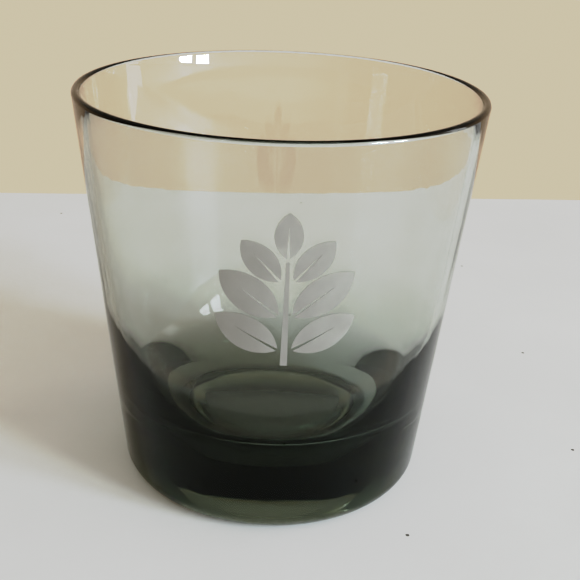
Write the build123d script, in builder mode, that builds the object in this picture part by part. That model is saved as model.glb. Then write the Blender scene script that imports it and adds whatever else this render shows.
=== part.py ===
"""Smoke-grey whiskey tumbler with a frosted sprig fired on its front. Millimetres, +Z up, front at -Y."""

import os
from math import cos, radians, sin

from build123d import *

# The glass, outside
height = 89.4
rim_radius = 44.1
rim_thickness = 1.75
rim_fillet = 0.86
base_radius = 34.6
heel_radius = 5.0

# Its underside: a flat bearing ring round a recess
bearing_inner_radius = 27.0
bearing_fillet = 0.6
recess_depth = 3.0
recess_slope = 4.0

# Its inside: a bowl that leaves the thin wall low down, turns at a knuckle into a cone, and a stepped floor
wall_thickness = 2.1
bowl_top = 44.7
bowl_wall_reach = 8.0
knuckle_radius = 32.7
knuckle_height = 24.0
knuckle_slope = 70
knuckle_reach_up = 6.5
knuckle_reach_down = 3.5
cone_slope = 36
cone_reach = 8.5
step_radius = 20.2
step_height = 1.5
step_fillet = 0.9
step_edge_fillet = 0.5
floor_radius = 17.3
floor_height = 11.2

# The frosted sprig: how far the print stands off the glass, and the stem that the leaves grow from
print_thickness = 0.1
sprig_low = 43.5
stem_top = 66.0
stem_width = 1.4
leaf_gap = 0.6

# Its leaves, by name: foot height on the stem, angle above level, length and widest width
leaf_pairs = {
    "low": (47.0, 30, 14.0, 7.2),
    "middle": (54.5, 38, 14.5, 7.4),
    "high": (62.0, 48, 11.0, 5.8),
}
tip_leaf_length = 9.4
tip_leaf_width = 5.4

# The clear vein up the middle of each: its width at the foot and how far it runs
vein_width = 0.6
vein_share = 0.7

os.makedirs("parts", exist_ok=True)

wall_lean = (rim_radius - base_radius) / height


def wall_radius(level):
    """Outer radius of the wall at a height above the table."""
    return base_radius + wall_lean * level


def up_slope(degrees):
    """Unit direction outwards at an angle above level."""
    return Vector(cos(radians(degrees)), sin(radians(degrees)))


def finish(builder, name):
    """Label a finished piece and write it as its own file."""
    builder.part.label = name
    export_step(builder.part, f"parts/{name}.step")


wall_down = Vector(-wall_lean, -1).normalized()
bowl_start = Vector(wall_radius(bowl_top) - wall_thickness, bowl_top)
knuckle = Vector(knuckle_radius, knuckle_height)
step_top = Vector(step_radius, floor_height + step_height)

with BuildPart() as glass_body:
    with BuildSketch(Plane.XZ) as half_section:
        with BuildLine():
            Polyline(
                (0, recess_depth),
                (bearing_inner_radius - recess_slope, recess_depth),
                (bearing_inner_radius, 0),
                (base_radius, 0),
                (rim_radius, height),
                (rim_radius - rim_thickness, height),
                bowl_start,
            )
            Bezier(
                bowl_start,
                bowl_start + wall_down * bowl_wall_reach,
                knuckle + up_slope(knuckle_slope) * knuckle_reach_up,
                knuckle,
            )
            Bezier(
                knuckle,
                knuckle - up_slope(knuckle_slope) * knuckle_reach_down,
                step_top + up_slope(cone_slope) * cone_reach,
                step_top,
            )
            Polyline(step_top, (floor_radius, floor_height), (0, floor_height), (0, recess_depth))
        make_face()
        rounded_corners = (
            ((base_radius, 0), heel_radius),
            ((bearing_inner_radius, 0), bearing_fillet),
            ((rim_radius, height), rim_fillet),
            ((rim_radius - rim_thickness, height), rim_fillet),
            ((floor_radius, floor_height), step_fillet),
            ((step_radius, floor_height + step_height), step_edge_fillet),
        )
        for place, radius in rounded_corners:
            corner = half_section.vertices().sort_by_distance(place)[0]
            fillet(corner, radius)
    revolve(axis=Axis.Z)
finish(glass_body, "glass_body")

# A thin skin on the outside of the wall, from which every print is cut
skin_top = height - rim_thickness
with BuildPart() as print_skin:
    with BuildSketch(Plane.XZ):
        with BuildLine():
            Polyline(
                (wall_radius(sprig_low - leaf_gap), sprig_low - leaf_gap),
                (wall_radius(skin_top), skin_top),
                (wall_radius(skin_top) + print_thickness, skin_top),
                (wall_radius(sprig_low - leaf_gap) + print_thickness, sprig_low - leaf_gap),
                close=True,
            )
        make_face()
    revolve(axis=Axis.Z)


with BuildPart() as sprig_stem:
    with BuildSketch(Plane.XZ):
        with BuildLine():
            Polyline(
                (-stem_width / 2, sprig_low),
                (stem_width / 2, sprig_low),
                (stem_width / 4, stem_top),
                (-stem_width / 4, stem_top),
                close=True,
            )
        make_face()
    extrude(amount=2 * rim_radius)
    add(print_skin.part, mode=Mode.INTERSECT)
finish(sprig_stem, "sprig_stem")

# Every leaf by name: the place of its foot, its angle above level towards the right, length and width
leaves = {"sprig_leaf_tip": (Vector(0, stem_top + leaf_gap), 90, tip_leaf_length, tip_leaf_width)}
for name, (foot_height, lean, length, width) in leaf_pairs.items():
    foot_offset = stem_width / 2 + leaf_gap
    leaves[f"sprig_leaf_right_{name}"] = (Vector(foot_offset, foot_height), lean, length, width)
    leaves[f"sprig_leaf_left_{name}"] = (Vector(-foot_offset, foot_height), 180 - lean, length, width)

for name, (foot, lean, length, width) in leaves.items():
    along = Vector(cos(radians(lean)), sin(radians(lean)))
    across = Vector(-along.Y, along.X)
    middle = foot + along * (length / 2)
    tip = foot + along * length
    vein_tip = foot + along * (length * vein_share)
    vein_foot = across * (vein_width / 2)
    with BuildPart() as leaf:
        with BuildSketch(Plane.XZ):
            with BuildLine():
                ThreePointArc(foot, middle + across * (width / 2), tip)
                ThreePointArc(tip, middle - across * (width / 2), foot)
            make_face()
            with BuildLine():
                Polyline(foot + vein_foot, vein_tip, foot - vein_foot, foot - along * vein_width, close=True)
            make_face(mode=Mode.SUBTRACT)
        extrude(amount=2 * rim_radius)
        add(print_skin.part, mode=Mode.INTERSECT)
    finish(leaf, name)
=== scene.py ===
"""The looks of a smoke-grey whiskey tumbler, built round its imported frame. Metres, +Z up, front at -Y."""

import math

import bmesh
import bpy
from mathutils import Matrix, Vector


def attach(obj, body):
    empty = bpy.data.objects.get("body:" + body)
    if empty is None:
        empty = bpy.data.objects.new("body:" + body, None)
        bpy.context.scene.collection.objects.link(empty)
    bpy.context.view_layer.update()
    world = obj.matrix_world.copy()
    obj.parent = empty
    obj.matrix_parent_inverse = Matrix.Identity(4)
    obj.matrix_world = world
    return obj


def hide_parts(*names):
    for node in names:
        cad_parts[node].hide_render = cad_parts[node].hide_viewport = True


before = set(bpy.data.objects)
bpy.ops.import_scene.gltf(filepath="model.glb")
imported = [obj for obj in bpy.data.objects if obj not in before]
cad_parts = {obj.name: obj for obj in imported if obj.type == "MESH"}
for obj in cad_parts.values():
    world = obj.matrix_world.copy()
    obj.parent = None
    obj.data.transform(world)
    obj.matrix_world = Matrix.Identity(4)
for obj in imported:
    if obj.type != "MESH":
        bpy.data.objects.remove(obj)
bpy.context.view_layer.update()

MM = 0.001

# The glass's own sizes
HEIGHT = 89.4 * MM
RIM_RADIUS = 44.1 * MM
RIM_THICKNESS = 1.75 * MM
RIM_FILLET = 0.86 * MM
WALL_THICKNESS = 2.1 * MM
BASE_RADIUS = 34.6 * MM
HEEL_RADIUS = 5.0 * MM
BEARING_INNER_RADIUS = 27.0 * MM
BEARING_FILLET = 0.6 * MM
RECESS_DEPTH = 3.0 * MM
RECESS_SLOPE = 4.0 * MM
FLOOR_HEIGHT = 11.2 * MM
FLOOR_RADIUS = 17.3 * MM
STEP_RADIUS = 20.2 * MM
STEP_HEIGHT = 1.5 * MM
STEP_FILLET = 0.9 * MM
STEP_EDGE_FILLET = 0.5 * MM
BOWL_TOP = 44.7 * MM
BOWL_WALL_REACH = 8.0 * MM
KNUCKLE = Vector((32.7, 24.0)) * MM
KNUCKLE_SLOPE = math.radians(70)
KNUCKLE_REACH_UP = 6.5 * MM
KNUCKLE_REACH_DOWN = 3.5 * MM
CONE_SLOPE = math.radians(36)
CONE_REACH = 8.5 * MM

# Faces round the axis, and points along each stretch of the half section
TURN_STEPS = 256
CURVE_STEPS = 24
FILLET_STEPS = 10
HEEL_STEPS = 20
STEP_EDGE_STEPS = 6
STEP_FOOT_STEPS = 8
WALL_STEPS = 12
MERGE_DISTANCE = 1e-6
SHORTEST_EDGE = 1e-7


# ---------------------------------------------------------------- shapes


def bezier(start, start_pull, end_pull, end):
    """Points of a cubic curve, without its first."""
    points = []
    for k in range(1, CURVE_STEPS + 1):
        t = k / CURVE_STEPS
        s = 1 - t
        points.append(s**3 * start + 3 * s * s * t * start_pull + 3 * s * t * t * end_pull + t**3 * end)
    return points


def fillet(before, corner, after, radius, steps=FILLET_STEPS):
    """Points of the arc that rounds a corner."""
    arm_in = (before - corner).normalized()
    arm_out = (after - corner).normalized()
    half = arm_in.angle(arm_out) / 2
    centre = corner + (arm_in + arm_out).normalized() * (radius / math.sin(half))
    first = corner + arm_in * (radius / math.tan(half)) - centre
    last = corner + arm_out * (radius / math.tan(half)) - centre
    sweep = first.angle_signed(last)
    points = []
    for k in range(steps + 1):
        turn = Matrix.Rotation(-sweep * k / steps, 2)
        points.append(centre + turn @ first)
    return points


def glass_half_section():
    """The glass's half section, from the middle of the underside round the rim to the floor's middle."""
    lean = (RIM_RADIUS - BASE_RADIUS) / HEIGHT
    wall_down = Vector((-lean, -1)).normalized()
    wall_foot = Vector((BASE_RADIUS, 0))
    rim_outside = Vector((RIM_RADIUS, HEIGHT))
    rim_inside = Vector((RIM_RADIUS - RIM_THICKNESS, HEIGHT))
    recess_edge = Vector((BEARING_INNER_RADIUS - RECESS_SLOPE, RECESS_DEPTH))
    bearing_inside = Vector((BEARING_INNER_RADIUS, 0))
    points = [Vector((0, RECESS_DEPTH)), recess_edge]
    points += fillet(recess_edge, bearing_inside, wall_foot, BEARING_FILLET)
    heel = fillet(bearing_inside, wall_foot, rim_outside, HEEL_RADIUS, HEEL_STEPS)
    bowl_start = Vector((BASE_RADIUS + lean * BOWL_TOP - WALL_THICKNESS, BOWL_TOP))
    outer_lip = fillet(wall_foot, rim_outside, rim_inside, RIM_FILLET)
    inner_lip = fillet(rim_outside, rim_inside, bowl_start, RIM_FILLET)
    points += heel
    points += [heel[-1].lerp(outer_lip[0], k / WALL_STEPS) for k in range(1, WALL_STEPS)]
    points += outer_lip + inner_lip
    points += [inner_lip[-1].lerp(bowl_start, k / WALL_STEPS) for k in range(1, WALL_STEPS + 1)]
    step_top = Vector((STEP_RADIUS, FLOOR_HEIGHT + STEP_HEIGHT))
    up_knuckle = Vector((math.cos(KNUCKLE_SLOPE), math.sin(KNUCKLE_SLOPE)))
    up_cone = Vector((math.cos(CONE_SLOPE), math.sin(CONE_SLOPE)))
    points += bezier(
        bowl_start,
        bowl_start + wall_down * BOWL_WALL_REACH,
        KNUCKLE + up_knuckle * KNUCKLE_REACH_UP,
        KNUCKLE,
    )
    bowl = bezier(
        KNUCKLE,
        KNUCKLE - up_knuckle * KNUCKLE_REACH_DOWN,
        step_top + up_cone * CONE_REACH,
        step_top,
    )
    points += bowl[:-1]
    step_foot = Vector((FLOOR_RADIUS, FLOOR_HEIGHT))
    floor_middle = Vector((0, FLOOR_HEIGHT))
    points += fillet(bowl[-2], step_top, step_foot, STEP_EDGE_FILLET, STEP_EDGE_STEPS)
    points += fillet(step_top, step_foot, floor_middle, STEP_FILLET, STEP_FOOT_STEPS)
    points.append(floor_middle)
    return points


def spun(name, half_section, material):
    """A closed body of revolution round the Z axis."""
    bm = bmesh.new()
    verts = [bm.verts.new((p.x, 0, p.y)) for p in half_section]
    edges = [bm.edges.new(pair) for pair in zip(verts, verts[1:])]
    bmesh.ops.spin(
        bm,
        geom=verts + edges,
        cent=(0, 0, 0),
        axis=(0, 0, 1),
        angle=2 * math.pi,
        steps=TURN_STEPS,
        use_merge=True,
    )
    bmesh.ops.remove_doubles(bm, verts=bm.verts, dist=MERGE_DISTANCE)
    bmesh.ops.dissolve_degenerate(bm, edges=bm.edges, dist=SHORTEST_EDGE)
    bmesh.ops.recalc_face_normals(bm, faces=bm.faces)
    return finished(name, bm, material)


def finished(name, bm, material, smooth=True):
    """Turn a bmesh into an object of the scene with its material."""
    mesh = bpy.data.meshes.new(name)
    bm.to_mesh(mesh)
    bm.free()
    for face in mesh.polygons:
        face.use_smooth = smooth
    mesh.materials.append(material)
    piece = bpy.data.objects.new(name, mesh)
    bpy.context.scene.collection.objects.link(piece)
    return piece


# ---------------------------------------------------------------- materials


def principled(name, **values):
    """A material with a Principled shader whose sockets are set to plain values."""
    material = bpy.data.materials.new(name)
    material.use_nodes = True
    shader = material.node_tree.nodes["Principled BSDF"]
    for socket, value in values.items():
        shader.inputs[socket.replace("_", " ")].default_value = value
    return material


def new_group(name, inputs, outputs):
    """An empty shader node group with named sockets, and its two ends."""
    group = bpy.data.node_groups.new(name, "ShaderNodeTree")
    for socket, kind in inputs:
        group.interface.new_socket(name=socket, in_out="INPUT", socket_type=f"NodeSocket{kind}")
    for socket, kind in outputs:
        group.interface.new_socket(name=socket, in_out="OUTPUT", socket_type=f"NodeSocket{kind}")
    return group, group.nodes.new("NodeGroupInput"), group.nodes.new("NodeGroupOutput")


# The middle range of the cloud noise, stretched to the full range of a tone
CLOUD_LOW = 0.3
CLOUD_HIGH = 0.7


def make_mottle():
    """Soft uneven cloudiness, stretched along the axes as asked."""
    group, given, result = new_group(
        "mottle",
        (
            ("Stretch", "Vector"),
            ("Scale", "Float"),
            ("Detail", "Float"),
            ("Low", "Float"),
            ("High", "Float"),
        ),
        (("Tone", "Float"), ("Height", "Float")),
    )
    place = group.nodes.new("ShaderNodeTexCoord")
    stretch = group.nodes.new("ShaderNodeVectorMath")
    stretch.operation = "MULTIPLY"
    cloud = group.nodes.new("ShaderNodeTexNoise")
    level = group.nodes.new("ShaderNodeMapRange")
    level.inputs["From Min"].default_value = CLOUD_LOW
    level.inputs["From Max"].default_value = CLOUD_HIGH
    group.links.new(place.outputs["Object"], stretch.inputs[0])
    group.links.new(given.outputs["Stretch"], stretch.inputs[1])
    group.links.new(stretch.outputs["Vector"], cloud.inputs["Vector"])
    group.links.new(given.outputs["Scale"], cloud.inputs["Scale"])
    group.links.new(given.outputs["Detail"], cloud.inputs["Detail"])
    group.links.new(cloud.outputs["Fac"], level.inputs["Value"])
    group.links.new(given.outputs["Low"], level.inputs["To Min"])
    group.links.new(given.outputs["High"], level.inputs["To Max"])
    group.links.new(level.outputs["Result"], result.inputs["Tone"])
    group.links.new(cloud.outputs["Fac"], result.inputs["Height"])
    return group


def make_specks():
    """A few small dark specks, as factor 1 where a speck lies."""
    group, given, result = new_group(
        "specks", (("Spacing", "Float"), ("Size", "Float")), (("Speck", "Float"),)
    )
    place = group.nodes.new("ShaderNodeTexCoord")
    per_metre = group.nodes.new("ShaderNodeMath")
    per_metre.operation = "DIVIDE"
    per_metre.inputs[0].default_value = 1.0
    cells = group.nodes.new("ShaderNodeTexVoronoi")
    cells.voronoi_dimensions = "2D"
    share = group.nodes.new("ShaderNodeMath")
    share.operation = "DIVIDE"
    inside = group.nodes.new("ShaderNodeMath")
    inside.operation = "LESS_THAN"
    group.links.new(given.outputs["Spacing"], per_metre.inputs[1])
    group.links.new(place.outputs["Object"], cells.inputs["Vector"])
    group.links.new(per_metre.outputs["Value"], cells.inputs["Scale"])
    group.links.new(given.outputs["Size"], share.inputs[0])
    group.links.new(given.outputs["Spacing"], share.inputs[1])
    group.links.new(cells.outputs["Distance"], inside.inputs[0])
    group.links.new(share.outputs["Value"], inside.inputs[1])
    group.links.new(inside.outputs["Value"], result.inputs["Speck"])
    return group


MOTTLE = make_mottle()
SPECKS = make_specks()


def use_group(material, group, **values):
    """Place a group in a material with its own values."""
    node = material.node_tree.nodes.new("ShaderNodeGroup")
    node.node_tree = group
    for socket, value in values.items():
        node.inputs[socket].default_value = value
    return node


def blend(material, factor, low, high):
    """The socket of a colour between two, by a factor socket; either end may be a socket."""
    mix = material.node_tree.nodes.new("ShaderNodeMix")
    mix.data_type = "RGBA"
    for socket, colour in (("A", low), ("B", high)):
        if isinstance(colour, tuple):
            mix.inputs[socket].default_value = (*colour, 1)
        else:
            material.node_tree.links.new(colour, mix.inputs[socket])
    material.node_tree.links.new(factor, mix.inputs["Factor"])
    return mix.outputs["Result"]


def give(material, socket, source):
    """Feed a socket of the material's Principled shader."""
    material.node_tree.links.new(source, material.node_tree.nodes["Principled BSDF"].inputs[socket])


def bump(material, height, distance, strength):
    """Raise the surface by a height socket."""
    node = material.node_tree.nodes.new("ShaderNodeBump")
    node.inputs["Distance"].default_value = distance
    node.inputs["Strength"].default_value = strength
    material.node_tree.links.new(height, node.inputs["Height"])
    give(material, "Normal", node.outputs["Normal"])


# Absorption of red, green and blue, and how far the densest of them stays from full colour
SMOKE_PER_MM = (0.074, 0.067, 0.077)
SMOKE_HEADROOM = 1.25


def smoke_glass():
    """Clear smoke-grey soda glass, dark only where it is thick, with faint upright waves in its wall."""
    material = principled(
        "smoke_glass", Base_Color=(1, 1, 1, 1), Roughness=0.0, IOR=1.52, Transmission_Weight=1.0
    )
    nodes = material.node_tree.nodes
    smoke = nodes.new("ShaderNodeVolumeAbsorption")
    density = max(SMOKE_PER_MM) / MM * SMOKE_HEADROOM
    smoke.inputs["Density"].default_value = density
    smoke.inputs["Color"].default_value = (*(1 - a / MM / density for a in SMOKE_PER_MM), 1)
    material.node_tree.links.new(smoke.outputs["Volume"], nodes["Material Output"].inputs["Volume"])
    waves = use_group(material, MOTTLE, Stretch=(1, 1, 0.06), Scale=260, Detail=1.0, Low=0, High=1)
    bump(material, waves.outputs["Height"], distance=0.1 * MM, strength=0.22)
    return material


def frosted_print():
    """The fired frosting: thin, grey-white, slightly see-through and finely grained."""
    material = principled(
        "frosted_print", Roughness=0.7, Specular_IOR_Level=0.35, Alpha=0.86, Transmission_Weight=0.4
    )
    cloud = use_group(material, MOTTLE, Stretch=(1, 1, 1), Scale=160, Detail=4.0, Low=0, High=1)
    white = blend(material, cloud.outputs["Tone"], (0.36, 0.345, 0.325), (0.42, 0.41, 0.39))
    give(material, "Base Color", white)
    grain = use_group(material, MOTTLE, Stretch=(1, 1, 1), Scale=3500, Detail=2.0, Low=0, High=1)
    bump(material, grain.outputs["Height"], distance=0.03 * MM, strength=0.5)
    return material


def table_paint():
    """White painted board, a little cloudy, with a few specks of dust."""
    material = principled("table_paint", Roughness=0.55, Specular_IOR_Level=0.2)
    cloud = use_group(material, MOTTLE, Stretch=(1, 1, 1), Scale=22, Detail=6.0, Low=0, High=1)
    paint = blend(material, cloud.outputs["Tone"], (0.755, 0.755, 0.75), (0.805, 0.805, 0.81))
    dust = use_group(material, SPECKS, Spacing=48 * MM, Size=0.45 * MM)
    give(material, "Base Color", blend(material, dust.outputs["Speck"], paint, (0.16, 0.15, 0.14)))
    grain = use_group(material, MOTTLE, Stretch=(1, 1, 1), Scale=420, Detail=3.0, Low=0, High=1)
    bump(material, grain.outputs["Height"], distance=0.2 * MM, strength=0.25)
    return material


# ---------------------------------------------------------------- the tumbler

glass = spun("tumbler_glass", glass_half_section(), smoke_glass())
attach(glass, "root")
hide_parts("glass_body")

frost = frosted_print()
for name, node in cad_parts.items():
    if name.startswith("sprig"):
        node.data.materials.clear()
        node.data.materials.append(frost)


# ---------------------------------------------------------------- stage

VIEW_TURN = math.radians(-3.9)
TABLE_BACK = 198 * MM
TABLE_TURN = math.radians(1.1)
TABLE_SIDE = 1.6
TABLE_DROP = 0.05 * MM
ROOM_COLOUR = (0.565, 0.455, 0.345)
CEILING_COLOUR = (0.38, 0.36, 0.315)
WALL_LOW = 0.18
WALL_HIGH = 0.45
BRIGHT_SIDE = (0.6, -0.8, 0.0)
BRIGHT_FROM = 0.0
BRIGHT_FULL = 0.75
BRIGHT_HIGH = 0.85
BRIGHT_FADE = 0.3
BRIGHT_COLOUR = (1.25, 1.15, 1.0)


def lay_table():
    """A white table whose back edge is close behind the tumbler."""
    bm = bmesh.new()
    bmesh.ops.create_grid(bm, x_segments=1, y_segments=1, size=TABLE_SIDE)
    bmesh.ops.translate(bm, verts=bm.verts, vec=(0, TABLE_BACK - TABLE_SIDE, -TABLE_DROP))
    bmesh.ops.rotate(bm, verts=bm.verts, cent=(0, 0, 0), matrix=Matrix.Rotation(TABLE_TURN, 3, "Z"))
    table = finished("table", bm, table_paint(), smooth=False)


lay_table()


def smooth_share(nodes, links, source, none_at, all_at):
    """The socket of a smooth rise from 0 to 1 between two values of a source."""
    rise = nodes.new("ShaderNodeMapRange")
    rise.interpolation_type = "SMOOTHSTEP"
    rise.inputs["From Min"].default_value = none_at
    rise.inputs["From Max"].default_value = all_at
    links.new(source, rise.inputs["Value"])
    return rise.outputs["Result"]


def light_room():
    """Beige walls, a dimmer ceiling, and one brighter side that gives most of the soft light."""
    world = bpy.data.worlds.new("beige_room")
    bpy.context.scene.world = world
    world.use_nodes = True
    nodes = world.node_tree.nodes
    links = world.node_tree.links
    where = nodes.new("ShaderNodeTexCoord")
    split = nodes.new("ShaderNodeSeparateXYZ")
    links.new(where.outputs["Generated"], split.inputs["Vector"])
    height = smooth_share(nodes, links, split.outputs["Z"], WALL_LOW, WALL_HIGH)
    mix = nodes.new("ShaderNodeMix")
    mix.data_type = "RGBA"
    mix.inputs["A"].default_value = (*ROOM_COLOUR, 1)
    mix.inputs["B"].default_value = (*CEILING_COLOUR, 1)
    links.new(height, mix.inputs["Factor"])
    facing = nodes.new("ShaderNodeVectorMath")
    facing.operation = "DOT_PRODUCT"
    facing.inputs[1].default_value = BRIGHT_SIDE
    links.new(where.outputs["Generated"], facing.inputs[0])
    bright = smooth_share(nodes, links, facing.outputs["Value"], BRIGHT_FROM, BRIGHT_FULL)
    below_top = smooth_share(nodes, links, split.outputs["Z"], BRIGHT_HIGH, BRIGHT_HIGH - BRIGHT_FADE)
    share = nodes.new("ShaderNodeMath")
    share.operation = "MULTIPLY"
    links.new(bright, share.inputs[0])
    links.new(below_top, share.inputs[1])
    lit = nodes.new("ShaderNodeMix")
    lit.data_type = "RGBA"
    lit.inputs["B"].default_value = (*BRIGHT_COLOUR, 1)
    links.new(mix.outputs["Result"], lit.inputs["A"])
    links.new(share.outputs["Value"], lit.inputs["Factor"])
    links.new(lit.outputs["Result"], nodes["Background"].inputs["Color"])


def hang_window(name, towards, distance, width, height, panes_across, panes_up, bar, power, colour):
    """A window of area lamps, facing the tumbler, with dark bars between its panes."""
    out = Vector(towards).normalized()
    out.rotate(Matrix.Rotation(VIEW_TURN, 3, "Z"))
    right = Vector((0, 0, 1)).cross(out).normalized()
    up = out.cross(right).normalized()
    centre = out * distance + Vector((0, 0, HEIGHT / 2))
    turn = Matrix((right, up, out)).transposed().to_euler()
    pane_width = width / panes_across - bar
    pane_height = height / panes_up - bar
    for i in range(panes_across):
        for k in range(panes_up):
            lamp = bpy.data.lights.new(f"{name}_{i}_{k}", "AREA")
            lamp.shape = "RECTANGLE"
            lamp.size = pane_width
            lamp.size_y = pane_height
            lamp.energy = power / (panes_across * panes_up)
            lamp.color = colour
            pane = bpy.data.objects.new(lamp.name, lamp)
            bpy.context.scene.collection.objects.link(pane)
            pane.location = (
                centre
                + right * ((i + 0.5) / panes_across - 0.5) * width
                + up * ((k + 0.5) / panes_up - 0.5) * height
            )
            pane.rotation_euler = turn


light_room()
hang_window(
    "window",
    towards=(0.83, -0.50, 0.26),
    distance=1.2,
    width=0.50,
    height=0.50,
    panes_across=2,
    panes_up=2,
    bar=0.07,
    power=16,
    colour=(0.76, 0.89, 1.0),
)
hang_window(
    "far_window",
    towards=(0.96, 0.28, 0.08),
    distance=1.4,
    width=0.30,
    height=1.2,
    panes_across=1,
    panes_up=1,
    bar=0.0,
    power=2.4,
    colour=(0.9, 0.95, 1.0),
)


# ---------------------------------------------------------------- camera

PITCH = math.radians(23.48)
ROLL = math.radians(2.30)
DISTANCE = 231.1 * MM
AIM = Vector((3.39, 0, 42.54)) * MM
SENSOR = 36.0
LENS = 62.07


def set_camera():
    """Look down on the tumbler from the front, a little rolled."""
    data = bpy.data.cameras.new("camera")
    data.sensor_width = SENSOR
    data.lens = LENS
    camera = bpy.data.objects.new("camera", data)
    bpy.context.scene.collection.objects.link(camera)
    ahead = Vector((0, math.cos(PITCH), -math.sin(PITCH)))
    right = Vector((1, 0, 0))
    up = right.cross(ahead)
    level = Matrix((right, up, -ahead)).transposed()
    rolled = level @ Matrix.Rotation(ROLL, 3, "Z")
    place = Matrix.Translation(AIM - ahead * DISTANCE) @ rolled.to_4x4()
    camera.matrix_world = Matrix.Rotation(VIEW_TURN, 4, "Z") @ place
    bpy.context.scene.camera = camera


set_camera()

# How a small camera renders tones: deep shadows fall away, pale tones bunch together
TONE_CURVE = (
    (0.025, 0.004),
    (0.06, 0.026),
    (0.14, 0.12),
    (0.3, 0.33),
    (0.45, 0.54),
    (0.65, 0.635),
    (0.85, 0.75),
)
COMBINED_CURVE = 3

# Enough for light to cross both walls and the thick base several times
GLASS_BOUNCES = 32
GLOSSY_BOUNCES = 16

scene = bpy.context.scene
scene.cycles.max_bounces = GLASS_BOUNCES
scene.cycles.transmission_bounces = GLASS_BOUNCES
scene.cycles.glossy_bounces = GLOSSY_BOUNCES
scene.view_settings.view_transform = "Standard"
scene.view_settings.use_curve_mapping = True
tone = scene.view_settings.curve_mapping.curves[COMBINED_CURVE]
for shade, shown in TONE_CURVE:
    tone.points.new(shade, shown)
scene.view_settings.curve_mapping.update()
